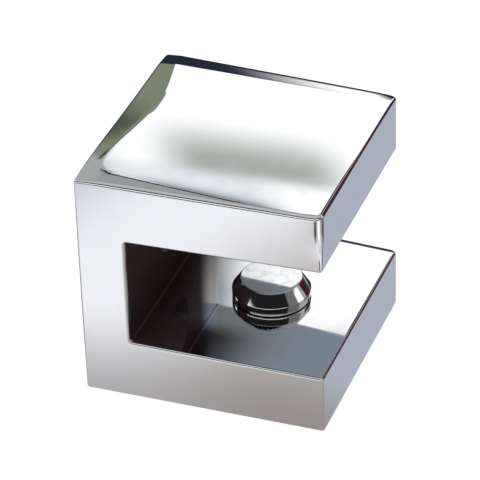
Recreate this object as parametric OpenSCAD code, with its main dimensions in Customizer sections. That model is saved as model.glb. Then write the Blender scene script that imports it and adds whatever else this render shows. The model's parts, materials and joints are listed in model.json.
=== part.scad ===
// Glass panel clamp: a square C-shaped die casting for the wall. A clamping screw through the lower jaw
// raises a round pad, which presses the edge of a glass panel up against the upper jaw.
// Frame: the origin is on the wall face, on the axis of the fixing hole. +X points away from the wall
// and out of the slot's mouth, +Y runs along the glass edge, and +Z points up. All sizes are in millimetres.

/* [Body] */
// Projection from the wall face to the free ends of the jaws
body_l = 25; // [23:0.5:40]
// Depth along the glass edge, measured at the wall face
body_w = 24.7; // [21:0.1:40]
// Overall height
body_h = 25.4; // [24.8:0.1:32]
// Thickness of the web behind the wall face
web_t = 4.9; // [4:0.1:6]
// Thickness of the lower jaw where it leaves the web
lower_jaw_t = 6.6; // [6:0.1:8]
// Thickness of the upper jaw where it leaves the web
upper_jaw_t = 6.8; // [5:0.1:7.4]

/* [Casting draft] */
// Taper of each side face towards the free ends, in degrees
side_draft = 1.5; // [0:0.1:3]
// Slope of the lower jaw's inner face, in degrees
lower_draft = 0.4; // [0:0.05:2]
// Slope of the upper jaw's inner face, in degrees
upper_draft = 1.25; // [0:0.05:2]

/* [Edges] */
// Radius of the long edges along the top and bottom
long_edge_r = 0.8; // [0.3:0.1:1.5]
// Radius of the outer edges round the free ends
end_edge_r = 1; // [0.5:0.1:2]
// Radius of the edges round the wall face
wall_edge_r = 0.4; // [0.2:0.1:1]
// Radius of the jaws' inner edges at the slot's mouth
mouth_edge_r = 0.4; // [0.2:0.1:1]
// Radius of the inside corners at the slot's root
root_r = 0.4; // [0.3:0.1:1.5]
// Width of the broken edge round the slot, on each side face
slot_break = 0.3; // [0.1:0.05:0.6]

/* [Fixing hole] */
// Height of the fixing hole's axis above the bottom face
fixing_h = 13.9; // [13:0.1:14.4]
// Diameter of the hole for the wall screw
fixing_d = 3.8; // [3:0.1:4.5]
// Diameter of its countersink at the web's inner face
countersink_d = 7.4; // [6:0.1:8]

/* [Clamping screw] */
// Outside diameter of the thread
thread_d = 5; // [4:0.5:5]
// Distance of the screw's axis from the wall face
screw_x = 15.45; // [14:0.05:17]
// Width across the flats of the hex socket
socket_af = 2.5; // [2:0.5:2.5]
// Depth of the hex socket
socket_depth = 2.6; // [2:0.1:3]
// How far the screw's lower end sits inside the lower jaw at rest
screw_recess = 0.4; // [0.2:0.1:1]
// Diameter of the spigot that carries the pad
spigot_d = 2.6; // [2:0.1:3]
// Diameter of the collar that keeps the pad on the spigot
collar_d = 3.6; // [3.4:0.1:4]

/* [Pressure pad] */
// Diameter of the pad's rim
pad_d = 8; // [7:0.1:10]
// Diameter of the flat that meets the glass
pad_top_d = 6.2; // [5:0.1:6.8]
// Thickness of the pad
pad_h = 2.2; // [2.2:0.05:3]
// Height of the straight band round the pad's rim
pad_rim_h = 0.95; // [0.3:0.05:1.4]
// Gap between the pad and the lower jaw when the screw is fully down
pad_gap = 0.1; // [0.05:0.01:0.3]

/* [Hidden] */
$fn = 96;

// Running clearances, on the radius and end to end
thread_gap = 0.05;
collar_gap = 0.05;

// Heights of the bottom and top faces, and of the slot's two faces at its root and at its mouth
bottom_z = -fixing_h;
top_z = bottom_z + body_h;
slot_l = body_l - web_t;
low_root_z = bottom_z + lower_jaw_t;
low_mouth_z = low_root_z - slot_l * tan(lower_draft);
high_root_z = top_z - upper_jaw_t;
high_mouth_z = high_root_z + slot_l * tan(upper_draft);

// The countersink has a 90 degree cone
countersink_h = (countersink_d - fixing_d) / 2;

// Heights up the clamping screw's axis
seat_z = low_root_z - (screw_x - web_t) * tan(lower_draft);
pad_z = seat_z + pad_gap;
shoulder_z = pad_z - collar_gap;
screw_end_z = bottom_z + screw_recess;

// The lip under the collar, the collar itself, and the bevels that finish the pad and the screw
lip_h = 0.6;
collar_h = 0.6;
pad_bevel = 0.15;
thread_bevel = 0.4;
hole_bevel = 0.3;
over = 1;

// An outline's corners are rounded with true arcs, which touch both of their edges
function unit(v) = v / norm(v);
function turn(a, b, c) = cross(unit(b - a), unit(c - b));
function arc_reach(a, b, c, r) = r * tan(abs(asin(turn(a, b, c))) / 2);
function arc_start(a, b, c, r) = b - unit(b - a) * arc_reach(a, b, c, r);
function arc_end(a, b, c, r) = b + unit(c - b) * arc_reach(a, b, c, r);
function left_of(a, b) = [a[1] - b[1], b[0] - a[0]] / norm(b - a);
function arc_centre(a, b, c, r) = arc_start(a, b, c, r) + left_of(a, b) * r * sign(turn(a, b, c));

// Points run anticlockwise; each corner has its own radius, and a radius of 0 leaves it sharp
module rounded_outline(points, radii) {
    n = len(points);
    before = [for (k = [0 : n - 1]) points[(k + n - 1) % n]];
    after = [for (k = [0 : n - 1]) points[(k + 1) % n]];
    convex = [for (k = [0 : n - 1]) turn(before[k], points[k], after[k]) > 0];
    difference() {
        union() {
            polygon([for (k = [0 : n - 1]) each radii[k] == 0 ? [points[k]] : [
                arc_start(before[k], points[k], after[k], radii[k]),
                arc_end(before[k], points[k], after[k], radii[k])
            ]]);
            for (k = [0 : n - 1]) if (radii[k] > 0 && convex[k])
                translate(arc_centre(before[k], points[k], after[k], radii[k])) circle(radii[k]);
        }
        for (k = [0 : n - 1]) if (radii[k] > 0 && !convex[k])
            translate(arc_centre(before[k], points[k], after[k], radii[k])) circle(radii[k]);
    }
}

// The C as it is seen from the side: X across, Z up
module side_view() {
    rounded_outline(
        [
            [0, bottom_z], [body_l, bottom_z],
            [body_l, low_mouth_z], [web_t, low_root_z],
            [web_t, high_root_z], [body_l, high_mouth_z],
            [body_l, top_z], [0, top_z]
        ],
        [
            wall_edge_r, end_edge_r, mouth_edge_r, root_r,
            root_r, mouth_edge_r, end_edge_r, wall_edge_r
        ]
    );
}

// The drafted block as it is seen from above: X across, Y up
module plan_view() {
    end_w = body_w - 2 * body_l * tan(side_draft);
    rounded_outline(
        [[0, -body_w / 2], [body_l, -end_w / 2], [body_l, end_w / 2], [0, body_w / 2]],
        [wall_edge_r, end_edge_r, end_edge_r, wall_edge_r]
    );
}

// Places its children on a side face: X runs along the drafted face, Y into the metal
module on_side(side) {
    mirror([0, side > 0 ? 1 : 0, 0])
        translate([0, -body_w / 2, 0]) rotate([0, 0, side_draft]) children();
}

// Everything behind one side face, with the long edges at its top and bottom rounded
module side_slab() {
    depth = 2 * body_w;
    rotate([90, 0, 90]) linear_extrude(height = 3 * body_l, center = true)
        rounded_outline(
            [[0, bottom_z], [depth, bottom_z], [depth, top_z], [0, top_z]],
            [long_edge_r, 0, 0, long_edge_r]
        );
}

// Everything on the slot's side of a plane that breaks an edge at 45 degrees. The edge runs through the
// origin, and the angle says which way the slot lies: 0 is above it, 90 is in front and 180 is below.
module past_break(angle) {
    size = 3 * body_l;
    rotate([0, angle, 0]) translate([0, slot_break, 0]) rotate([45, 0, 0])
        translate([-size / 2, -size / 2, 0]) cube(size);
}

// The broken edge where the slot meets a side face: along both jaws, down the web and across its corners
module slot_edge_breaks() {
    low_root = [web_t, low_root_z];
    high_root = [web_t, high_root_z];
    low = arc_centre([body_l, low_mouth_z], low_root, high_root, root_r);
    high = arc_centre(low_root, high_root, [body_l, high_mouth_z], root_r);
    low_turn = 45 + lower_draft / 2;
    high_turn = 135 - upper_draft / 2;
    breaks = [
        [low_root, lower_draft],
        [low - root_r * [sin(low_turn), cos(low_turn)], low_turn],
        [low_root, 90],
        [high - root_r * [sin(high_turn), cos(high_turn)], high_turn],
        [high_root, 180 - upper_draft]
    ];
    intersection_for (edge = breaks) translate([edge[0][0], 0, edge[0][1]]) past_break(edge[1]);
}

// The wall screw's hole, countersunk from inside the slot
module fixing_hole() {
    rotate([0, 90, 0]) {
        translate([0, 0, -over]) cylinder(h = web_t + 2 * over, d = fixing_d);
        translate([0, 0, web_t - countersink_h])
            cylinder(h = countersink_h + over, d1 = fixing_d, d2 = countersink_d + 2 * over);
    }
}

// The clamping screw's hole through the lower jaw, with a bevel where the screw is started
module screw_hole() {
    hole_d = thread_d + 2 * thread_gap;
    translate([screw_x, 0, bottom_z]) {
        translate([0, 0, -over]) cylinder(h = lower_jaw_t + 2 * over, d = hole_d);
        translate([0, 0, -over])
            cylinder(h = over + hole_bevel, d1 = hole_d + 2 * (over + hole_bevel), d2 = hole_d);
    }
}

// The chromed casting, in one piece
module clamp_body() {
    color("gainsboro") difference() {
        intersection() {
            rotate([90, 0, 0]) linear_extrude(height = 2 * body_w, center = true) side_view();
            translate([0, 0, -body_h]) linear_extrude(height = 2 * body_h) plan_view();
            on_side(-1) side_slab();
            on_side(1) side_slab();
        }
        for (side = [-1, 1]) on_side(side) slot_edge_breaks();
        fixing_hole();
        screw_hole();
    }
}

// The headless screw: thread, hex socket in its lower end, and the collared spigot that holds the pad
module clamp_screw() {
    thread_r = thread_d / 2;
    collar_z = shoulder_z + collar_gap + lip_h + collar_gap;
    color("silver") translate([screw_x, 0, 0]) difference() {
        rotate_extrude() polygon([
            [0, screw_end_z],
            [thread_r - thread_bevel, screw_end_z],
            [thread_r, screw_end_z + thread_bevel],
            [thread_r, shoulder_z - thread_bevel],
            [thread_r - thread_bevel, shoulder_z],
            [spigot_d / 2, shoulder_z],
            [spigot_d / 2, collar_z],
            [collar_d / 2, collar_z],
            [collar_d / 2, collar_z + collar_h],
            [0, collar_z + collar_h]
        ]);
        translate([0, 0, screw_end_z - over])
            cylinder(h = socket_depth + over, d = socket_af / cos(30), $fn = 6);
    }
}

// The turned pad: a flat top, a broad cone, a straight rim, and a lip closed in under the screw's collar
module pressure_pad() {
    mouth_r = spigot_d / 2 + collar_gap;
    recess_r = collar_d / 2 + collar_gap;
    recess_top = lip_h + collar_h + 3 * collar_gap;
    color("whitesmoke") translate([screw_x, 0, pad_z]) rotate_extrude() polygon([
        [mouth_r, 0],
        [pad_d / 2, 0],
        [pad_d / 2, pad_rim_h],
        [pad_top_d / 2 + pad_bevel, pad_h - pad_bevel],
        [pad_top_d / 2, pad_h],
        [0, pad_h],
        [0, recess_top],
        [recess_r, recess_top],
        [recess_r, lip_h],
        [mouth_r, lip_h]
    ]);
}

clamp_body();
clamp_screw();
pressure_pad();
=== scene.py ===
"""Looks of the glass panel clamp: the chromed casting, the clamping screw in it, and the screw's pressure pad.

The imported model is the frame. Every piece is built in the frame's own coordinates and in metres: +X points out
of the slot's mouth, +Y runs along the glass edge, and +Z points up. Lengths written in millimetres are
multiplied by MM.
"""

import json
import logging
import math
from dataclasses import dataclass
from enum import Enum
from typing import Sequence

import bpy
import numpy as np
from mathutils import Matrix, Vector


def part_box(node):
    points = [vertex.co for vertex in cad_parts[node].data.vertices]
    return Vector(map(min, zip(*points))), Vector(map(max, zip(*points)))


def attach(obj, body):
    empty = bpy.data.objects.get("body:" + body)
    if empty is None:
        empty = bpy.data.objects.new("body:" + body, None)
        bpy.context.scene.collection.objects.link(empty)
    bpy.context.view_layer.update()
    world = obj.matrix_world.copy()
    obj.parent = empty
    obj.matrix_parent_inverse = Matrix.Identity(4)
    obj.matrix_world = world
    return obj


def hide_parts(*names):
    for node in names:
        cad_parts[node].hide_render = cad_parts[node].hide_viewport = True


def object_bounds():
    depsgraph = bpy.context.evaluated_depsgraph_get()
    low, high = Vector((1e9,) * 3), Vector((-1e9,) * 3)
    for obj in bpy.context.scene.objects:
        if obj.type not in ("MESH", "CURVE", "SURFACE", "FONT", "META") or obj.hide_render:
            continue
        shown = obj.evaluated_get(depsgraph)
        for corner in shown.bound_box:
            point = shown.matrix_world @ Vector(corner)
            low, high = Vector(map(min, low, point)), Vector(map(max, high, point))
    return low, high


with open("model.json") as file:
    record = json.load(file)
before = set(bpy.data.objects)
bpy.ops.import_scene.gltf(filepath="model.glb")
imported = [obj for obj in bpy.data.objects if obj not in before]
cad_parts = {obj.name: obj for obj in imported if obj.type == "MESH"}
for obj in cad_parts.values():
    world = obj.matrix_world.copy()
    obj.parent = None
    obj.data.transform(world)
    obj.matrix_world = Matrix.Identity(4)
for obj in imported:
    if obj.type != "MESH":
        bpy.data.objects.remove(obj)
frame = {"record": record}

CAD_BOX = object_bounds()
MM = 0.001
TOOL_REACH = 1 * MM

log = logging.getLogger("glass_panel_clamp")

Colour = tuple[float, float, float]


# --- Shader graphs ---


class Link:
    """A node's output socket that can stand in a Python expression on values."""

    def __init__(self, graph: "Graph", socket: bpy.types.NodeSocket) -> None:
        """Keeps the socket and the graph that new Math nodes go into."""
        self.graph = graph
        self.socket = socket

    def math(self, operation: str, *others: "Link | float", first: "Link | float | None" = None) -> "Link":
        """Adds a Math node on this value and others; first goes before it, for a reflected operator."""
        operands = ([] if first is None else [first]) + [self, *others]
        return self.graph.node("ShaderNodeMath", {"operation": operation}, dict(enumerate(operands)))

    def __add__(self, other: "Link | float") -> "Link":
        """Sum."""
        return self.math("ADD", other)

    def __radd__(self, other: float) -> "Link":
        """Sum, with a number first."""
        return self.math("ADD", other)

    def __sub__(self, other: "Link | float") -> "Link":
        """Difference."""
        return self.math("SUBTRACT", other)

    def __rsub__(self, other: float) -> "Link":
        """Difference, with a number first."""
        return self.math("SUBTRACT", first=other)

    def __mul__(self, other: "Link | float") -> "Link":
        """Product."""
        return self.math("MULTIPLY", other)

    def __rmul__(self, other: float) -> "Link":
        """Product, with a number first."""
        return self.math("MULTIPLY", other)

    def maximum(self, other: "Link | float") -> "Link":
        """The larger of two values."""
        return self.math("MAXIMUM", other)

    def ramp(self, low: float, high: float) -> "Link":
        """A smooth step, which falls where low is above high.

        Args:
            low: The value where the step is 0.
            high: The value where the step is 1.

        Returns:
            The step.
        """
        if low > high:
            return 1 - self.ramp(high, low)
        settings = {"interpolation_type": "SMOOTHSTEP", "clamp": True}
        return self.graph.node("ShaderNodeMapRange", settings,
                               {"Value": self, "From Min": low, "From Max": high})


class Graph:
    """The node graph of one material, or of the world."""

    def __init__(self, owner: bpy.types.Material | bpy.types.World) -> None:
        """Clears the owner's nodes.

        Args:
            owner: The material or world whose nodes are made.
        """
        owner.use_nodes = True
        self.tree = owner.node_tree
        self.tree.nodes.clear()

    def node(self, kind: str, settings: dict | None = None, sockets: dict | None = None,
             out: str | int = 0) -> Link:
        """Adds a node of any type.

        Args:
            kind: The node's type name.
            settings: The node's own properties, which are set first.
            sockets: A value or a Link for each input, by its name or number.
            out: The name or number of the output to hand back.

        Returns:
            The output, ready for an expression or for another node's input.
        """
        made = self.tree.nodes.new(kind)
        for name, value in (settings or {}).items():
            setattr(made, name, value)
        for name, value in (sockets or {}).items():
            target = made.inputs[name]
            if isinstance(value, Link):
                self.tree.links.new(value.socket, target)
            elif isinstance(value, tuple) and len(value) == 3 and target.type == "RGBA":
                target.default_value = (*value, 1.0)
            else:
                target.default_value = value
        return Link(self, made.outputs[out] if len(made.outputs) else None)

    def mix(self, low: "Link | Colour", high: "Link | Colour", factor: Link) -> Link:
        """Blends two colours: low where the factor is 0, high where it is 1."""
        return self.node("ShaderNodeMix", {"data_type": "RGBA"}, {0: factor, 6: low, 7: high}, out=2)

    def coordinates(self, space: str) -> Link:
        """A Texture Coordinate output, by its name."""
        return self.node("ShaderNodeTexCoord", out=space)

    def along(self, vector: Link, direction: Vector) -> Link:
        """How far a vector reaches along a fixed direction."""
        return self.node("ShaderNodeVectorMath", {"operation": "DOT_PRODUCT"},
                         {0: vector, 1: tuple(direction)}, out="Value")

    def distance(self, place: Link, centre: Vector) -> Link:
        """How far a place is from a fixed point."""
        return self.node("ShaderNodeVectorMath", {"operation": "DISTANCE"},
                         {0: place, 1: tuple(centre)}, out="Value")

    def finish(self, shader: Link, output: str = "ShaderNodeOutputMaterial") -> None:
        """Joins the shader to the graph's output node."""
        self.node(output, sockets={"Surface": shader})


# --- Finishes ---


@dataclass(frozen=True)
class PlatedFinish:
    """Bright chrome over polished metal: a mirror with a little haze and the waves that polishing leaves."""

    name: str
    colour: Colour
    haze_colour: Colour
    roughness: float
    haze_roughness: float
    grain_per_m: float
    grain_height: float
    wave_per_m: float
    wave_height: float
    haze_share: float = 1.7
    haze_from: float = 0.42
    haze_to: float = 0.72

    @staticmethod
    def noise(graph: Graph, place: Link, per_m: float, detail: float, roughness: float) -> Link:
        """A cloudy pattern in space."""
        return graph.node("ShaderNodeTexNoise", {"noise_dimensions": "3D"},
                          {"Vector": place, "Scale": per_m, "Detail": detail, "Roughness": roughness})

    def material(self) -> bpy.types.Material:
        """Builds the procedural material.

        Returns:
            The new material.
        """
        made = bpy.data.materials.new(self.name)
        graph = Graph(made)
        place = graph.coordinates("Object")
        cloud = self.noise(graph, place, self.wave_per_m * self.haze_share, detail=3.0, roughness=0.5)
        haze = cloud.ramp(self.haze_from, self.haze_to)
        grain = self.noise(graph, place, self.grain_per_m, detail=2.0, roughness=0.6)
        wave = self.noise(graph, place, self.wave_per_m, detail=1.0, roughness=0.4)
        relief = wave * self.wave_height + grain * self.grain_height
        normal = graph.node("ShaderNodeBump", sockets={"Height": relief, "Strength": 1.0, "Distance": 1.0},
                            out="Normal")
        shader = graph.node("ShaderNodeBsdfPrincipled", sockets={
            "Base Color": graph.mix(self.colour, self.haze_colour, haze),
            "Metallic": 1.0,
            "Roughness": haze * (self.haze_roughness - self.roughness) + self.roughness,
            "Normal": normal,
        }, out="BSDF")
        graph.finish(self.with_painted_shade(graph, place, shader))
        return made

    def with_painted_shade(self, graph: Graph, place: Link, plated: Link) -> Link:
        """The plating's shader, with painted shade laid over it where a finish paints some; plain plating paints
        none.
        """
        return plated


@dataclass(frozen=True)
class CastingFinish(PlatedFinish):
    """Bright chrome with painted shade deep inside the slot: a dark, dull, red-tinted surface laid over the
    chrome there.
    """

    # Painted shade of the slot: its colour, roughness and shine, how much of the chrome it covers, and the
    # depths where it begins and where it is whole.
    slot_shade_colour: Colour = (0.023, 0.009, 0.010)
    slot_shade_roughness: float = 0.4
    slot_shade_shine: float = 0.2
    slot_shade_share: float = 0.975
    slot_shade_from: float = 13.0 * MM
    slot_shade_to: float = 5.5 * MM
    web: float = 4.7 * MM
    slot_low: float = -7.9 * MM
    slot_high: float = 5.6 * MM
    front: float = -12.0 * MM
    back: float = 10.0 * MM
    back_blend: float = 3.5 * MM
    blend: float = 0.4 * MM

    def with_painted_shade(self, graph: Graph, place: Link, plated: Link) -> Link:
        """Chrome, with painted shade deep inside the slot.

        Args:
            graph: The material's graph.
            place: The place on the object.
            plated: The plating's shader.

        Returns:
            The finished shader.
        """
        x, y, z = (graph.along(place, Vector(axis)) for axis in ((1, 0, 0), (0, 1, 0), (0, 0, 1)))
        # Painted shade: deep in the slot, short of its back end and between the jaws, a dark, dull, red-tinted
        # surface takes over from the chrome.
        deep = x.ramp(self.slot_shade_from, self.slot_shade_to) * x.ramp(self.web - self.blend, self.web)
        inner = y.ramp(self.back, self.back - self.back_blend) * y.ramp(self.front, self.front + self.blend)
        between = (z.ramp(self.slot_low, self.slot_low + self.blend)
                   * z.ramp(self.slot_high, self.slot_high - self.blend))
        painted_shade = graph.node("ShaderNodeBsdfPrincipled", sockets={
            "Base Color": self.slot_shade_colour, "Roughness": self.slot_shade_roughness,
            "Specular IOR Level": self.slot_shade_shine}, out="BSDF")
        return graph.node("ShaderNodeMixShader", sockets={0: deep * inner * between * self.slot_shade_share,
                                                          1: plated, 2: painted_shade})


# --- Meshes ---


class Cut(Enum):
    """What a boolean keeps of a piece: what is outside the tool, or what both share."""

    OUTSIDE = "DIFFERENCE"
    SHARED = "INTERSECT"


def mesh_piece(name: str, points: np.ndarray, faces: Sequence[Sequence[int]]) -> bpy.types.Object:
    """Makes a smooth-shaded mesh piece and links it to the scene.

    Args:
        name: The piece's name.
        points: One row of three coordinates for each vertex.
        faces: The vertex numbers of each face, anticlockwise from outside.

    Returns:
        The new piece.
    """
    mesh = bpy.data.meshes.new(name)
    mesh.from_pydata(np.asarray(points, float).tolist(), [], [[int(v) for v in face] for face in faces])
    mesh.shade_smooth()
    piece = bpy.data.objects.new(name, mesh)
    bpy.context.scene.collection.objects.link(piece)
    return piece


def carve(piece: bpy.types.Object, tool: bpy.types.Object, cut: Cut = Cut.OUTSIDE) -> None:
    """Cuts a piece with a tool, applies the result to the piece's mesh and deletes the tool.

    Args:
        piece: The piece that is cut.
        tool: The closed mesh that cuts it.
        cut: What is kept.
    """
    modifier = piece.modifiers.new("cut", "BOOLEAN")
    modifier.operation = cut.value
    modifier.solver = "EXACT"
    modifier.object = tool
    bpy.context.view_layer.update()
    shaped = piece.evaluated_get(bpy.context.evaluated_depsgraph_get())
    mesh = bpy.data.meshes.new_from_object(shaped)
    piece.modifiers.clear()
    piece.data = mesh
    bpy.data.objects.remove(tool)


def shade(piece: bpy.types.Object, sharp_over: float) -> None:
    """Shades a piece smooth, with the edges that turn by more than sharp_over degrees kept sharp."""
    piece.data.shade_smooth()
    piece.data.set_sharp_from_angle(angle=math.radians(sharp_over))


def arc(centre: tuple[float, float], radius: float, start: float, end: float, steps: int = 4) -> list[tuple]:
    """Points of a true arc from start to end, both in degrees, with a number of chords between them."""
    angles = [math.radians(start + (end - start) * k / steps) for k in range(steps + 1)]
    return [(centre[0] + radius * math.cos(a), centre[1] + radius * math.sin(a)) for a in angles]


@dataclass(frozen=True)
class Lathe:
    """Turns an outline of (radius, height) points about an axis through a point."""

    centre: Vector
    axis: Vector = Vector((0, 0, 1))
    steps: int = 96

    def turn(self, name: str, outline: Sequence[tuple[float, float]]) -> bpy.types.Object:
        """Makes the turned solid.

        Args:
            name: The piece's name.
            outline: The points, with the metal on the left hand. Flat discs close the first and last rings.

        Returns:
            The new piece.
        """
        to_axis = self.axis.to_track_quat("Z", "Y").to_matrix()
        turns = [2 * math.pi * k / self.steps for k in range(self.steps)]
        points = [self.centre + to_axis @ Vector((radius * math.cos(a), radius * math.sin(a), height))
                  for radius, height in outline for a in turns]
        last = (len(outline) - 1) * self.steps
        faces = [tuple(range(self.steps))[::-1], tuple(range(last, last + self.steps))]
        for start in range(0, last, self.steps):
            for k in range(self.steps):
                after = (k + 1) % self.steps
                above = start + self.steps
                faces.append((start + k, start + after, above + after, above + k))
        return mesh_piece(name, np.array(points), faces)


@dataclass(frozen=True)
class Thread:
    """A right-hand metric thread: straight flanks between a narrow flat crest and a wider flat root."""

    centre: Vector
    radius: float
    pitch: float = 0.8 * MM
    depth_share: float = 0.5413
    crest_share: float = 0.125
    root_share: float = 0.25
    steps: int = 96

    def solid(self, name: str, low: float, high: float, clearance: float = 0.0) -> bpy.types.Object:
        """Winds the threaded bar. Its turns start at the same heights whatever its ends, so bar and hole mesh.

        Args:
            name: The piece's name.
            low: The height that its lower end reaches below.
            high: The height that its upper end reaches above.
            clearance: How much the whole form is enlarged, for the hole that it runs in.

        Returns:
            The bar, with ends that only serve to be cut away.
        """
        crest = self.radius + clearance
        root = crest - self.depth_share * self.pitch
        flank = (1 - self.crest_share - self.root_share) / 2
        profile = [(crest, 0.0), (crest, self.crest_share), (root, self.crest_share + flank), (root, 1 - flank)]
        base = (math.floor(low / self.pitch) - 1) * self.pitch
        winds = math.ceil((high - base) / self.pitch) + 1
        levels = [(radius, base + (wind + share) * self.pitch)
                  for wind in range(winds) for radius, share in profile]
        points = []
        for radius, height in levels:
            for k in range(self.steps):
                share = k / self.steps
                turn = 2 * math.pi * share
                points.append((self.centre.x + radius * math.cos(turn), self.centre.y + radius * math.sin(turn),
                               height + share * self.pitch))
        per_wind = len(profile)

        def number(level: int, k: int) -> int:
            """A vertex's number; a full turn ends one wind higher."""
            wraps, place = divmod(k, self.steps)
            return (level + wraps * per_wind) * self.steps + place

        top = len(levels) - per_wind - 1
        faces = [(number(level, k), number(level, k + 1), number(level + 1, k + 1), number(level + 1, k))
                 for level in range(top) for k in range(self.steps)]
        ends = [(0, base, True), (top, base + top / per_wind * self.pitch + self.pitch, False)]
        for level, height, below in ends:
            hub = len(points)
            points.append((self.centre.x, self.centre.y, height))
            rim = [number(level, k) for k in range(self.steps + 1)]
            rim += [number(level + step, 0) for step in range(per_wind - 1, 0, -1)]
            for start, after in zip(rim, rim[1:] + rim[:1]):
                faces.append((hub, after, start) if below else (hub, start, after))
        return mesh_piece(name, np.array(points), faces)


# --- The casting ---


def round_and(a: np.ndarray, b: np.ndarray, radius: np.ndarray | float) -> np.ndarray:
    """Distance from what two solids share, with an arc along the edge where their faces meet."""
    outside = np.hypot(np.maximum(a + radius, 0), np.maximum(b + radius, 0))
    return np.minimum(np.maximum(a, b), -radius) + outside


def round_or(a: np.ndarray, b: np.ndarray, radius: float) -> np.ndarray:
    """Distance from two solids joined, with an arc in the inside corner where their faces meet."""
    return -round_and(-a, -b, radius)


def ease(value: np.ndarray, low: float, high: float) -> np.ndarray:
    """A smooth step from 0 at low to 1 at high."""
    share = np.clip((value - low) / (high - low), 0, 1)
    return share * share * (3 - 2 * share)


def edge_lines(at: float, radius: float, side: int, steps: int = 5, beyond: float = 1.3) -> list[float]:
    """Grid lines for an arc above (1) or below (-1) an edge: even turns, the edge itself, and one beyond."""
    shares = [1 - math.tan(math.pi / 4 * k / steps) for k in range(steps + 1)] + [beyond]
    return [at + side * radius * share for share in shares]


def merge_lines(lines: Sequence[float], step: float, closest: float) -> np.ndarray:
    """Sorts grid lines, drops those too close to their neighbour and fills wide gaps evenly.

    Args:
        lines: The lines that have to be there.
        step: The widest gap.
        closest: The narrowest gap.

    Returns:
        The grid lines in rising order.
    """
    kept: list[float] = []
    for line in sorted(lines):
        if not kept or line - kept[-1] > closest:
            kept.append(line)
    filled = [kept[0]]
    for line in kept[1:]:
        parts = max(1, math.ceil((line - filled[-1]) / step))
        filled += list(np.linspace(filled[-1], line, parts + 1)[1:])
    return np.array(filled)


def lattice_skin(solid: np.ndarray) -> list[tuple[int, int, int, int]]:
    """Finds the outer faces of a block of grid cells.

    Args:
        solid: Whether each cell is metal, by its place along x, y and z.

    Returns:
        Four corner numbers for each face, anticlockwise from outside.
    """
    corners = np.array(solid.shape) + 1
    weights = np.array([corners[1] * corners[2], corners[2], 1])
    padded = np.pad(solid, 1)
    faces = []
    for axis in range(3):
        u, v = [(1, 2), (2, 0), (0, 1)][axis]
        for side in (0, 1):
            neighbour = np.roll(padded, 1 - 2 * side, axis)[1:-1, 1:-1, 1:-1]
            for cell in np.argwhere(solid & ~neighbour):
                base = cell.copy()
                base[axis] += side
                offsets = [(0, 0), (1, 0), (1, 1), (0, 1)] if side else [(0, 0), (0, 1), (1, 1), (1, 0)]
                corner = []
                for du, dv in offsets:
                    place = base.copy()
                    place[u] += du
                    place[v] += dv
                    corner.append(int(place @ weights))
                faces.append(tuple(corner))
    return faces


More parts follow.
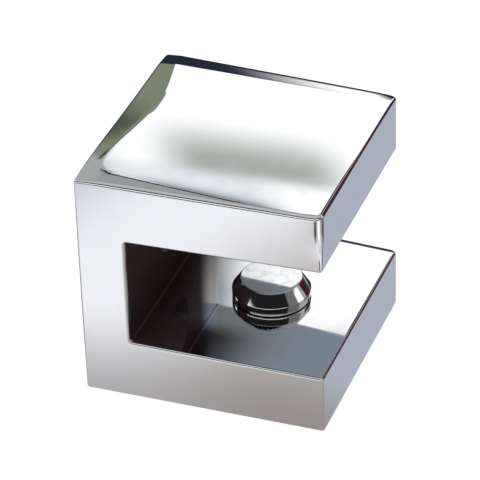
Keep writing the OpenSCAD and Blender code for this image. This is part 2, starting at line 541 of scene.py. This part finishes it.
@dataclass
class Casting:
    """The C-shaped die casting: a distance field that a grid of points is drawn onto, then its two holes.

    Polishing leaves the broad faces very slightly crowned. On the top it leaves a flat bounded by a crisp
    line, which wanders along the wall and turns a round corner, and rolls off all round. Both jaws also
    fall off in a narrow rim along the back edge.
    """

    finish: PlatedFinish
    bore_finish: PlatedFinish
    web: float = 4.9 * MM
    lower_jaw: float = 6.6 * MM
    upper_jaw: float = 6.8 * MM
    side_draft: float = math.tan(math.radians(1.5))
    lower_draft: float = math.tan(math.radians(0.4))
    upper_draft: float = math.tan(math.radians(1.25))
    edge: float = 0.28 * MM
    front_edge: float = 0.42 * MM
    back_corner: float = 0.8 * MM
    upper_corner: float = 0.75 * MM
    corner_low: float = 6.0 * MM
    corner_high: float = 9.5 * MM
    slot_edge: float = 0.3 * MM
    root: float = 0.28 * MM
    crown: float = 0.1 * MM
    side_crown: float = 0.03 * MM
    border_slope: float = 0.11
    border_line: float = 0.12 * MM
    border_corner: float = 1.9 * MM
    wall_border: float = 2.2 * MM
    wall_border_swing: float = 0.7 * MM
    wall_border_period: float = 22 * MM
    wall_border_start: float = 9.5 * MM
    front_border: float = 1.9 * MM
    front_border_taper: float = 0.06
    back_border: float = 2.3 * MM
    back_slope: float = 0.075
    back_rim: float = 0.55 * MM
    floor_rim: float = 0.9 * MM
    rim_slope: float = 0.17
    corner_dip: float = 0.3 * MM
    corner_dip_width: float = 0.8 * MM
    end_roll: float = 0.25 * MM
    end_roll_width: float = 0.8 * MM
    grid: float = 0.8 * MM
    border_grid: float = 0.12 * MM
    closest_grid: float = 0.04 * MM
    roll_depth: float = 1.2 * MM
    roll_grid: float = 0.075 * MM
    line_reach: int = 3
    draws: int = 6
    probe: float = 0.002 * MM
    skin_depth: float = 0.01 * MM
    sharp_over: float = 30.0
    countersink_radius: float = 3.7 * MM
    bore_clearance: float = 0.05 * MM
    bore_bevel: float = 0.3 * MM

    def __post_init__(self) -> None:
        """Reads the block's outer size and its holes from the frame."""
        low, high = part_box("clamp_body")
        self.length, self.half_width = high.x, high.y
        self.bottom, self.top = low.z, high.z
        self.low_root = self.bottom + self.lower_jaw
        self.high_root = self.top - self.upper_jaw
        self.hole = next(mount for mount in frame["record"]["mounts"] if mount["kind"] == "bore")

    def floor_at(self, x: np.ndarray) -> np.ndarray:
        """Height of the lower jaw's inner face."""
        return self.low_root - np.maximum(x - self.web, 0) * self.lower_draft

    def ceiling_at(self, x: np.ndarray) -> np.ndarray:
        """Height of the upper jaw's inner face."""
        return self.high_root + np.maximum(x - self.web, 0) * self.upper_draft

    def fall(self, past: np.ndarray, slope: float) -> np.ndarray:
        """How far the top has fallen at a distance past one of its border lines."""
        return slope * (past + np.hypot(past, self.border_line)) / 2

    def rim_at(self, x: np.ndarray, y: np.ndarray, width: float) -> np.ndarray:
        """How far a jaw has fallen along its back edge, in a rim of a given width."""
        return self.fall(width - (self.half_width - x * self.side_draft - y), self.rim_slope)

    def top_at(self, x: np.ndarray, y: np.ndarray) -> np.ndarray:
        """Height of the top face: a crowned flat that falls away beyond its border lines.

        Args:
            x: How far from the wall each point is.
            y: Where it is along the glass edge.

        Returns:
            The heights.
        """
        front = y + self.half_width
        swing = np.sin(2 * math.pi * (front - self.wall_border_start) / self.wall_border_period)
        past_wall = self.wall_border + self.wall_border_swing * swing - x
        past_front = self.front_border - self.front_border_taper * x - front
        lost = self.fall(round_and(past_wall, past_front, self.border_corner), self.border_slope)
        lost = lost + self.fall(self.back_border - (self.half_width - y), self.back_slope)
        from_corner = np.hypot(self.length - x, self.half_width - y)
        lost = lost + self.corner_dip * np.exp(-from_corner / self.corner_dip_width)
        lost = lost + self.rim_at(x, y, self.back_rim)
        return self.top - lost - self.crown * (y / self.half_width) ** 2

    def distance(self, p: np.ndarray) -> np.ndarray:
        """Signed distance from the casting's surface.

        Args:
            p: One row of three coordinates for each point.

        Returns:
            The distances, negative inside the metal.
        """
        x, y, z = p.T
        upper = ease(z, self.corner_low, self.corner_high)
        lost = self.side_crown * ((z - (self.top + self.bottom) / 2) / (self.top - self.bottom) * 2) ** 2
        from_end = np.maximum(self.length - x, 0)
        lost = lost + (y < 0) * upper * self.end_roll * np.exp(-from_end / self.end_roll_width)
        side = np.abs(y) - (self.half_width - x * self.side_draft - lost)
        corner = np.where(y > 0, self.back_corner, self.edge + upper * (self.upper_corner - self.edge))
        at_end = ease(x, self.length / 4, self.length / 2)
        plan = round_and(np.maximum(-x, x - self.length), side, self.edge + at_end * (corner - self.edge))
        lids = np.maximum(z - self.top_at(x, y), self.bottom - z)
        front = ease(-y, 0, self.half_width / 2) * ease(z, 0, self.corner_low) * ease(x, 0, self.web)
        block = round_and(plan, lids, self.edge + front * (self.front_edge - self.edge))
        floor = z - self.floor_at(x) + self.rim_at(x, y, self.floor_rim)
        metal = round_or(round_or(x - self.web, floor, self.root), self.ceiling_at(x) - z, self.root)
        return np.maximum(block, round_and(metal, plan, self.slot_edge))

    def slope(self, p: np.ndarray) -> np.ndarray:
        """The outward normal of the distance field.

        Args:
            p: One row of three coordinates for each point.

        Returns:
            One row of three for each point, of length 1.
        """
        shifts = np.eye(3) * self.probe
        rise = np.stack([self.distance(p + shift) - self.distance(p - shift) for shift in shifts], axis=1)
        return rise / np.linalg.norm(rise, axis=1, keepdims=True)

    def grid_points(self) -> tuple[np.ndarray, list[tuple[int, int, int, int]]]:
        """Builds the sharp-edged grid of the C, drafted like the casting.

        Returns:
            All grid points, and the corner numbers of each outer face.
        """
        wall_lines = np.arange(self.wall_border - self.wall_border_swing,
                               self.wall_border + self.wall_border_swing, self.border_grid)
        front_lines = np.arange(self.front_border - self.front_border_taper * self.length, self.front_border,
                                self.border_grid) - self.half_width
        fillets = (self.edge, self.front_edge, self.upper_corner, self.back_corner)
        xs = merge_lines(edge_lines(0, self.edge, 1) + list(wall_lines) + edge_lines(self.web, self.root, 1)
                         + edge_lines(self.web, self.slot_edge, -1)
                         + [line for radius in fillets for line in edge_lines(self.length, radius, -1)],
                         self.grid, self.closest_grid)
        side = [line for radius in fillets for line in edge_lines(self.half_width, radius, -1)]
        back_lines = [self.half_width - border + self.border_line * step
                      for border in (self.back_border, self.back_rim, self.floor_rim)
                      for step in range(-self.line_reach, self.line_reach + 1)]
        ys = merge_lines(side + [-line for line in side] + list(front_lines) + back_lines,
                         self.grid / 2, self.closest_grid)
        zs = merge_lines(edge_lines(self.bottom, self.edge, 1)
                         + edge_lines(self.low_root, self.slot_edge, -1)
                         + edge_lines(self.low_root, self.root, 1)
                         + edge_lines(self.high_root, self.root, -1)
                         + edge_lines(self.high_root, self.slot_edge, 1)
                         + list(np.arange(self.top - self.roll_depth, self.top, self.roll_grid)) + [self.top],
                         self.grid, self.closest_grid)
        middle_x = (xs[1:] + xs[:-1]) / 2
        middle_z = (zs[1:] + zs[:-1]) / 2
        in_slot = (middle_z > self.low_root) & (middle_z < self.high_root)
        metal = (middle_x < self.web)[:, None] | ~in_slot[None, :]
        solid = np.repeat(metal[:, None, :], len(ys) - 1, axis=1)
        x, y, z = (axis.ravel() for axis in np.meshgrid(xs, ys, zs, indexing="ij"))
        y = y * (self.half_width - x * self.side_draft) / self.half_width
        low = self.bottom + (z - self.bottom) * (self.floor_at(x) - self.bottom) / self.lower_jaw
        high = self.top - (self.top - z) * (self.top - self.ceiling_at(x)) / self.upper_jaw
        z = np.where(z <= self.low_root, low, np.where(z >= self.high_root, high, z))
        return np.stack([x, y, z], axis=1), lattice_skin(solid)

    def cast(self) -> bpy.types.Object:
        """Draws the grid onto the distance field.

        Returns:
            The casting without its holes.
        """
        points, faces = self.grid_points()
        used = np.unique(faces)
        renumbered = {int(old): new for new, old in enumerate(used)}
        surface = points[used]
        for _ in range(self.draws):
            surface = surface - self.distance(surface)[:, None] * self.slope(surface)
        return mesh_piece("clamp_casting", surface, [[renumbered[v] for v in face] for face in faces])

    def drill(self, piece: bpy.types.Object, thread: Thread) -> None:
        """Cuts the countersunk fixing hole and the tapped hole.

        Args:
            piece: The casting.
            thread: The clamping screw's thread, which the tapped hole fits with clearance.
        """
        over = TOOL_REACH
        radius = self.hole["dims"]["r_mm"] * MM
        cone = self.countersink_radius - radius
        fixing = Lathe(Vector(self.hole["pos_m"]), Vector((1, 0, 0)))
        carve(piece, fixing.turn("fixing_drill", [
            (radius, -over), (radius, self.web - cone), (self.countersink_radius, self.web),
            (self.countersink_radius + over, self.web + over),
        ]))
        carve(piece, thread.solid("tap", self.bottom - over, self.low_root + over, self.bore_clearance))
        mouth = thread.radius + self.bore_clearance + self.bore_bevel
        carve(piece, Lathe(thread.centre).turn("lead_in", [
            (mouth + over, self.bottom - over), (mouth, self.bottom), (mouth - over, self.bottom + over),
        ]))

    def smooth(self, piece: bpy.types.Object) -> None:
        """Gives the outer skin the distance field's own normals, and marks the bores' faces.

        Args:
            piece: The casting with its holes.
        """
        mesh = piece.data
        shade(piece, self.sharp_over)
        points = np.array([v.co for v in mesh.vertices])
        middles = np.array([face.center for face in mesh.polygons])
        skin = np.abs(self.distance(middles)) < self.skin_depth
        normals = self.slope(points)
        custom = np.zeros((len(mesh.loops), 3))
        for face in mesh.polygons:
            if skin[face.index]:
                for loop in face.loop_indices:
                    custom[loop] = normals[mesh.loops[loop].vertex_index]
            face.material_index = 0 if skin[face.index] else 1
        mesh.normals_split_custom_set(custom.tolist())

    def build(self, thread: Thread) -> bpy.types.Object:
        """Makes the casting and puts it in the frame.

        Args:
            thread: The clamping screw's thread.

        Returns:
            The finished piece.
        """
        piece = self.cast()
        self.drill(piece, thread)
        piece.data.materials.clear()
        piece.data.materials.append(self.finish.material())
        piece.data.materials.append(self.bore_finish.material())
        self.smooth(piece)
        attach(piece, "clamp")
        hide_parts("clamp_body")
        return piece


# --- The screw and the pad ---


@dataclass
class ClampScrew:
    """The headless clamping screw: threaded bar, hex socket below, and the collared spigot above."""

    finish: PlatedFinish
    thread_bevel: float = 0.4 * MM
    spigot_radius: float = 1.3 * MM
    collar_radius: float = 1.8 * MM
    collar_height: float = 0.6 * MM
    collar_bevel: float = 0.1 * MM
    neck: float = 0.7 * MM
    socket_flats: float = 2.5 * MM
    socket_depth: float = 2.6 * MM
    drill_cone: float = 0.6 * MM
    drill_point: float = 0.12 * MM
    socket_bevel: float = 0.3 * MM
    socket_bevel_out: float = 0.05 * MM
    sharp_over: float = 25.0

    def __post_init__(self) -> None:
        """Reads the screw's axis, ends and thread size from the frame."""
        low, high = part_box("clamp_screw")
        self.axis = Vector(((low.x + high.x) / 2, (low.y + high.y) / 2, 0))
        self.bottom, self.top = low.z, high.z
        self.thread = Thread(self.axis, (high.x - low.x) / 2)
        self.shoulder = self.top - self.collar_height - self.neck
        self.socket_corner = self.socket_flats / 2 / math.cos(math.radians(30))

    def socket_tool(self) -> bpy.types.Object:
        """The hexagonal broach, with the drill's cone at its end.

        Returns:
            The tool.
        """
        tip = self.bottom + self.socket_depth
        return Lathe(self.axis, steps=6).turn("broach", [
            (self.socket_corner, self.bottom - TOOL_REACH), (self.socket_corner, tip),
            (self.drill_point, tip + self.drill_cone),
        ])

    def build(self) -> bpy.types.Object:
        """Makes the screw and puts it in the frame.

        Returns:
            The finished piece.
        """
        radius, bevel, low = self.thread.radius, self.thread_bevel, self.bottom
        collar = self.top - self.collar_height
        piece = Lathe(self.axis).turn("clamp_spindle", [
            (radius - bevel, low), (radius, low + bevel), (radius, self.shoulder - bevel),
            (radius - bevel, self.shoulder), (self.spigot_radius, self.shoulder), (self.spigot_radius, collar),
            (self.collar_radius - self.collar_bevel, collar), (self.collar_radius, collar + self.collar_bevel),
            (self.collar_radius, self.top - self.collar_bevel),
            (self.collar_radius - self.collar_bevel, self.top),
        ])
        over = TOOL_REACH
        carve(piece, self.thread.solid("winding", low - over, self.top + over), Cut.SHARED)
        carve(piece, self.socket_tool())
        mouth = self.socket_corner + self.socket_bevel_out
        carve(piece, Lathe(self.axis).turn("socket_bevel", [
            (mouth + over, low - over), (mouth, low), (mouth - self.socket_bevel, low + self.socket_bevel),
        ]))
        piece.data.materials.clear()
        piece.data.materials.append(self.finish.material())
        shade(piece, self.sharp_over)
        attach(piece, "screw")
        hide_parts("clamp_screw")
        return piece


@dataclass
class PressurePad:
    """The turned pad: a flat top, a broad cone, a straight rim, and the recess for the screw's collar."""

    finish: PlatedFinish
    top_radius: float = 3.1 * MM
    rim_height: float = 0.95 * MM
    top_edge: float = 0.15 * MM
    top_edge_share: float = 0.4
    rim_edge: float = 0.12 * MM
    mouth_radius: float = 1.35 * MM
    recess_radius: float = 1.85 * MM
    lip: float = 0.6 * MM
    lip_bevel: float = 0.05 * MM
    recess_height: float = 1.35 * MM
    recess_centre: float = 0.02 * MM
    top_rings: tuple[float, ...] = (0.9, 0.6, 0.3, 0.01)
    sharp_over: float = 35.0

    def build(self) -> bpy.types.Object:
        """Makes the pad and puts it in the frame.

        Returns:
            The finished piece.
        """
        low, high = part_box("pressure_pad")
        axis = Vector(((low.x + high.x) / 2, (low.y + high.y) / 2, 0))
        rim, height = (high.x - low.x) / 2, high.z - low.z
        cone = math.degrees(math.atan2(height - self.rim_height, rim - self.top_radius))
        r, e = self.rim_edge, self.top_edge
        cone_rise = (height - e - self.rim_height) / (rim - self.top_radius - e)
        slant = math.degrees(math.atan(1 / cone_rise))
        outline = [(self.recess_centre, self.recess_height), (self.recess_radius, self.recess_height),
                   (self.recess_radius, self.lip), (self.mouth_radius, self.lip),
                   (self.mouth_radius, self.lip_bevel), (self.mouth_radius + self.lip_bevel, 0)]
        outline += arc((rim - r, r), r, -90, 0)
        outline += arc((rim - r, self.rim_height - r * math.tan(math.radians((90 - cone) / 2))), r, 0, slant)
        outline += arc((self.top_radius - e * self.top_edge_share, height - e), e, slant, 90, steps=5)
        outline += [(self.top_radius * share, height) for share in self.top_rings]
        piece = Lathe(axis).turn("pressure_disc", [(radius, low.z + z) for radius, z in outline])
        piece.data.materials.append(self.finish.material())
        shade(piece, self.sharp_over)
        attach(piece, "pad")
        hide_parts("pressure_pad")
        return piece


# --- The studio ---


class Ray(Enum):
    """The kinds of ray that a backdrop answers in its own way."""

    CAMERA = "Is Camera Ray"
    GLOSSY = "Is Glossy Ray"
    TRANSMISSION = "Is Transmission Ray"


@dataclass(frozen=True)
class Card:
    """A card in the sky, seen by reflections only. All angles are in degrees.

    Azimuth 0 is +Y and grows towards +X. The card reaches from low to high at its middle, and it climbs by
    rise for each degree towards its right side. Its edges fade over side, below and above.
    """

    name: str
    colour: Colour
    azimuth: float
    half_width: float
    low: float
    high: float
    rise: float = 0.0
    side: float = 1.0
    below: float = 1.0
    above: float = 1.0

    def mask(self, graph: Graph, direction: Link) -> Link:
        """Where the card is.

        Args:
            graph: The world's graph.
            direction: The direction looked in.

        Returns:
            1 on the card, 0 off it, with soft edges.
        """
        turn = math.radians(self.azimuth)
        ahead = graph.along(direction, Vector((math.sin(turn), math.cos(turn), 0)))
        aside = graph.along(direction, Vector((math.cos(turn), -math.sin(turn), 0)))
        offset = aside.math("ARCTAN2", ahead) * (180 / math.pi)
        height = graph.along(direction, Vector((0, 0, 1))).math("ARCSINE") * (180 / math.pi)
        height = height - offset * self.rise
        within = offset.math("ABSOLUTE").ramp(self.half_width + self.side, self.half_width)
        within = within * height.ramp(self.low - self.below, self.low)
        return within * height.ramp(self.high + self.above, self.high)


@dataclass(frozen=True)
class Patch:
    """A round patch of another tone on the table, seen by reflections only. Most are painted shadows and painted
    pools of light. Lengths are in millimetres.

    With inner above outer it is everything beyond a circle instead.
    """

    name: str
    colour: Colour
    x: float
    y: float
    inner: float
    outer: float

    def mask(self, graph: Graph, place: Link, height: float) -> Link:
        """1 on the inner radius's side of a place on the floor, 0 on the outer one's."""
        centre = Vector((self.x * MM, self.y * MM, height))
        return graph.distance(place, centre).ramp(self.outer * MM, self.inner * MM)


@dataclass
class Studio:
    """A pale floor with painted shadows and painted light that only reflections see, a plain dome with soft
    cards in it, a soft lamp and the camera.
    """

    horizon: Colour = (0.40, 0.42, 0.45)
    zenith: Colour = (0.58, 0.59, 0.60)
    zenith_from: float = 0.8
    plain_level: float = 1.0
    table_front: Colour = (0.70, 0.72, 0.78)
    # Painted contact shadow on the table in front of the object, seen only in reflections: its colour, where it
    # begins and ends along y, and how much of it is laid on.
    table_contact_shadow: Colour = (0.27, 0.245, 0.24)
    table_back: Colour = (0.47, 0.51, 0.60)
    contact_shadow_from: float = -27 * MM
    contact_shadow_to: float = -11 * MM
    contact_shadow_share: float = 0.68
    back_from: float = -12 * MM
    back_to: float = -2 * MM
    # Painted light and painted shade on the table in front: a pool of light, a shadow to the right front, a
    # shadow at the corner and a patch of light beside it.
    front_patches: tuple[Patch, ...] = (
        Patch("light", (1.07, 1.08, 1.13), 35, -25, 43, 58),
        Patch("right_front_shadow", (0.58, 0.55, 0.54), 35, -25, 18, 38),
        Patch("corner_shadow", (0.08, 0.07, 0.08), 33, -43, 5, 13),
        Patch("corner_light", (1.25, 1.25, 1.28), 56, -26, 8, 14),
    )
    # Painted shade on the table at the back: shadows at the back of the object, and a dark streak to the right.
    back_patches: tuple[Patch, ...] = (
        Patch("behind", (0.28, 0.34, 0.41), 2, 30, 10, 24),
        Patch("behind_left", (0.23, 0.24, 0.26), -3, 31, 4, 12),
        Patch("right_streak", (0.12, 0.12, 0.14), 52, 2, 8, 14),
    )
    # A painted shadow on the wall side, and the dark far table.
    wide_patches: tuple[Patch, ...] = (
        Patch("wall_shadow", (0.04, 0.04, 0.045), -14, 0, 10, 17),
        Patch("far", (0.04, 0.04, 0.05), 0, 0, 110, 70),
    )
    floor_half: float = 3.0
    floor_colour: Colour = (0.75, 0.75, 0.77)
    floor_glow: float = 0.86
    floor_shadow: Colour = (0.2, 0.2, 0.2)
    lamp_size: float = 0.8
    lamp_energy: float = 2.0
    lamp_place: tuple[float, float, float] = (-0.3, -0.4, 1.0)
    camera_azimuth: float = 21.465
    camera_elevation: float = 34.78
    camera_roll: float = 1.866
    camera_distance: float = 0.316
    camera_lens: float = 236.2
    camera_sensor: float = 36.0
    camera_clip: float = 0.01
    target: tuple[float, float, float] = (0.01186, 0.00087, -0.00203)
    cards: tuple[Card, ...] = (
        Card("back_window", (1.31, 1.32, 1.34), -9, 17, 22, 36.4, side=3.0, below=2.0, above=1.0),
        Card("blue_window", (1.00, 1.06, 1.10), -25, 3.2, 34.6, 36.4, side=1.5, below=0.5, above=1.0),
        Card("right_grey", (0.20, 0.20, 0.20), 98, 24, 6, 42, side=7.0, below=4.0, above=6.0),
        Card("right_window", (1.25, 1.26, 1.28), 73, 8, 7, 21, side=4.0, below=3.0, above=5.0),
        Card("left_window", (1.2, 1.21, 1.23), -88, 18, 20, 50, side=7.0, below=5.0, above=6.0),
        Card("front_window", (1.1, 1.11, 1.13), 180, 55, 5, 19, side=10.0, below=4.0, above=4.0),
        Card("camera_side", (0.015, 0.015, 0.018), 180, 66, 25, 42, side=6.0, below=3.0, above=4.0),
        Card("left_side", (0.44, 0.47, 0.47), -31.5, 5.5, 29.5, 60, side=2.0, below=0.8, above=10.0),
        Card("ceiling", (0.38, 0.40, 0.40), -25, 30, 43.5, 62, side=15.0, below=1.5, above=10.0),
        Card("veil", (0.47, 0.49, 0.46), -21.3, 1.1, 34.15, 34.4, rise=0.1, side=1.6, below=2.0, above=0.6),
        Card("upper_shade", (0.33, 0.36, 0.39), -22.6, 0.9, 35.8, 38, rise=0.2, side=1.2, below=0.8, above=1.0),
        Card("dark_rail", (0.03, 0.03, 0.035), -4, 26, 38.0, 42, side=5.0, below=0.7, above=1.2),
        Card("left_wall", (0.25, 0.285, 0.205), -28, 3.0, 16, 29.8, side=0.8, below=4.0, above=0.7),
        Card("wall_streak", (0.04, 0.045, 0.035), -27.5, 2.2, 30, 31, rise=0.3, side=0.8, below=0.5, above=0.5),
        Card("black_flag", (0.022, 0.025, 0.045), -28, 8.2, 2, 24.8, rise=0.23, side=2.6, below=2.0, above=1.0),
        Card("rim_shadow", (0.012, 0.012, 0.01), -34.5, 4.0, 4, 24, side=2.0, below=3.0, above=3.0),
        Card("low_rail", (0.02, 0.02, 0.025), -2, 19, -5, 17, side=3.0, below=2.0, above=3.0),
        Card("right_flag", (0.06, 0.016, 0.03), 31, 20, -5, 33, side=3.0, below=2.0, above=3.0),
        Card("slot_light", (0.95, 0.95, 0.95), 21, 1.3, 35.1, 35.4, side=0.8, below=0.8, above=0.95),
        Card("brown_post", (0.26, 0.10, 0.10), 25, 2.6, 33, 39, side=0.5, below=1.0, above=1.0),
    )

    def sky(self) -> None:
        """Makes the world: white to the camera, plain for soft light, and with its cards for reflections."""
        world = bpy.data.worlds.new("studio")
        bpy.context.scene.world = world
        graph = Graph(world)
        direction = graph.coordinates("Generated")
        height = graph.along(direction, Vector((0, 0, 1)))
        colour = graph.mix(self.horizon, self.zenith, height.ramp(0, self.zenith_from))
        for card in self.cards:
            colour = graph.mix(colour, card.colour, card.mask(graph, direction))
        seen = self.ray(graph, Ray.GLOSSY, Ray.TRANSMISSION)
        plain = (self.plain_level,) * 3
        graph.finish(graph.node("ShaderNodeBackground", sockets={"Color": graph.mix(plain, colour, seen)}),
                     "ShaderNodeOutputWorld")

    @staticmethod
    def ray(graph: Graph, *kinds: Ray) -> Link:
        """Tells some kinds of ray from all others.

        Args:
            graph: The graph that asks.
            kinds: The kinds of ray.

        Returns:
            1 for rays of any of these kinds, 0 for all others.
        """
        answers = [graph.node("ShaderNodeLightPath", out=kind.value) for kind in kinds]
        total = answers[0]
        for answer in answers[1:]:
            total = total.maximum(answer)
        return total

    def floor(self) -> bpy.types.Object:
        """Makes the floor, which the camera sees as white with the object's shadow on it. Reflections see
        painted tones on it instead: painted shadows around the object, and painted pools of light.

        Returns:
            The floor.
        """
        half, low = self.floor_half, CAD_BOX[0].z
        corners = np.array([(-half, -half, low), (half, -half, low), (half, half, low), (-half, half, low)])
        floor = mesh_piece("floor", corners, [(0, 1, 2, 3)])
        made = bpy.data.materials.new("pale_table")
        graph = Graph(made)
        place = graph.coordinates("Object")
        plain = graph.node("ShaderNodeBsdfDiffuse", sockets={"Color": self.floor_colour})
        # The tone that reflections see, with the painted shadows and painted light laid on the table's tones.
        front, back = self.table_front, self.table_back
        for patch in self.front_patches:
            front = graph.mix(front, patch.colour, patch.mask(graph, place, low))
        for patch in self.back_patches:
            back = graph.mix(back, patch.colour, patch.mask(graph, place, low))
        y = graph.along(place, Vector((0, 1, 0)))
        # Painted contact shadow of the object on the table, seen only in reflections.
        front = graph.mix(front, self.table_contact_shadow, y.ramp(self.contact_shadow_from, self.contact_shadow_to) * self.contact_shadow_share)
        tone = graph.mix(front, back, y.ramp(self.back_from, self.back_to))
        for patch in self.wide_patches:
            tone = graph.mix(tone, patch.colour, patch.mask(graph, place, low))
        shown = graph.node("ShaderNodeEmission", sockets={"Color": tone})
        glow = graph.node("ShaderNodeEmission", sockets={"Color": (1.0, 1.0, 1.0), "Strength": self.floor_glow})
        shaded = graph.node("ShaderNodeBsdfDiffuse", sockets={"Color": self.floor_shadow})
        lit = graph.node("ShaderNodeAddShader", sockets={0: glow, 1: shaded})
        mirrored = graph.node("ShaderNodeMixShader", sockets={
            0: self.ray(graph, Ray.GLOSSY, Ray.TRANSMISSION), 1: plain, 2: shown})
        graph.finish(graph.node("ShaderNodeMixShader", sockets={
            0: self.ray(graph, Ray.CAMERA), 1: mirrored, 2: lit}))
        floor.data.materials.append(made)
        return floor

    def lamp(self) -> None:
        """Hangs one large soft lamp above the front of the object, too far off to make a hard shadow."""
        light = bpy.data.lights.new("soft_lamp", "AREA")
        light.shape, light.size, light.energy = "DISK", self.lamp_size, self.lamp_energy
        lamp = bpy.data.objects.new("soft_lamp", light)
        bpy.context.scene.collection.objects.link(lamp)
        lamp.location = self.lamp_place
        lamp.rotation_euler = (Vector(self.target) - lamp.location).to_track_quat("-Z", "Y").to_euler()
        lamp.visible_glossy = False

    def camera(self) -> None:
        """Sets up the camera at its viewing angle."""
        angles = (self.camera_azimuth, self.camera_elevation, self.camera_roll)
        azimuth, elevation, roll = map(math.radians, angles)
        ahead = Vector((-math.sin(azimuth) * math.cos(elevation), math.cos(azimuth) * math.cos(elevation),
                        -math.sin(elevation)))
        level = Vector((math.cos(azimuth), math.sin(azimuth), 0))
        upright = level.cross(ahead)
        right = level * math.cos(roll) - upright * math.sin(roll)
        data = bpy.data.cameras.new("camera")
        data.lens, data.sensor_width, data.clip_start = self.camera_lens, self.camera_sensor, self.camera_clip
        camera = bpy.data.objects.new("camera", data)
        bpy.context.scene.collection.objects.link(camera)
        axes = Matrix((right, right.cross(ahead), -ahead)).transposed()
        place = Vector(self.target) - ahead * self.camera_distance
        camera.matrix_world = Matrix.Translation(place) @ axes.to_4x4()
        bpy.context.scene.camera = camera

    def build(self) -> None:
        """Makes the whole studio."""
        self.sky()
        self.floor()
        self.lamp()
        self.camera()
        bpy.context.scene.view_settings.view_transform = "Standard"


# --- The scene ---

BRIGHT_CHROME = CastingFinish("bright_chrome", (0.80, 0.80, 0.80), (0.79, 0.79, 0.79), 0.035, 0.05,
                              9000.0, 0.02e-6, 260.0, 0.3e-6)
BORE_PLATE = PlatedFinish("bore_plate", (0.09, 0.085, 0.085), (0.06, 0.055, 0.055), 0.35, 0.5,
                          6000.0, 0.5e-6, 500.0, 1.0e-6)
SCREW_PLATE = PlatedFinish("screw_plate", (0.60, 0.60, 0.61), (0.52, 0.52, 0.53), 0.18, 0.3,
                           7000.0, 0.3e-6, 500.0, 1.0e-6)
# The pad's chrome is a little darker than the casting's, as painted shade of the slot it sits in.
PAD_CHROME = PlatedFinish("pad_chrome", (0.76, 0.755, 0.75), (0.70, 0.69, 0.68), 0.04, 0.07,
                          7000.0, 0.05e-6, 700.0, 0.8e-6)


def main() -> None:
    """Builds the studio and the three pieces."""
    logging.basicConfig(level=logging.INFO, format="%(name)s: %(message)s")
    Studio().build()
    screw = ClampScrew(SCREW_PLATE)
    pieces = [Casting(BRIGHT_CHROME, BORE_PLATE).build(screw.thread), screw.build(),
              PressurePad(PAD_CHROME).build()]
    for piece in pieces:
        log.info("%s: %d faces", piece.name, len(piece.data.polygons))


if __name__ == "__main__":
    main()
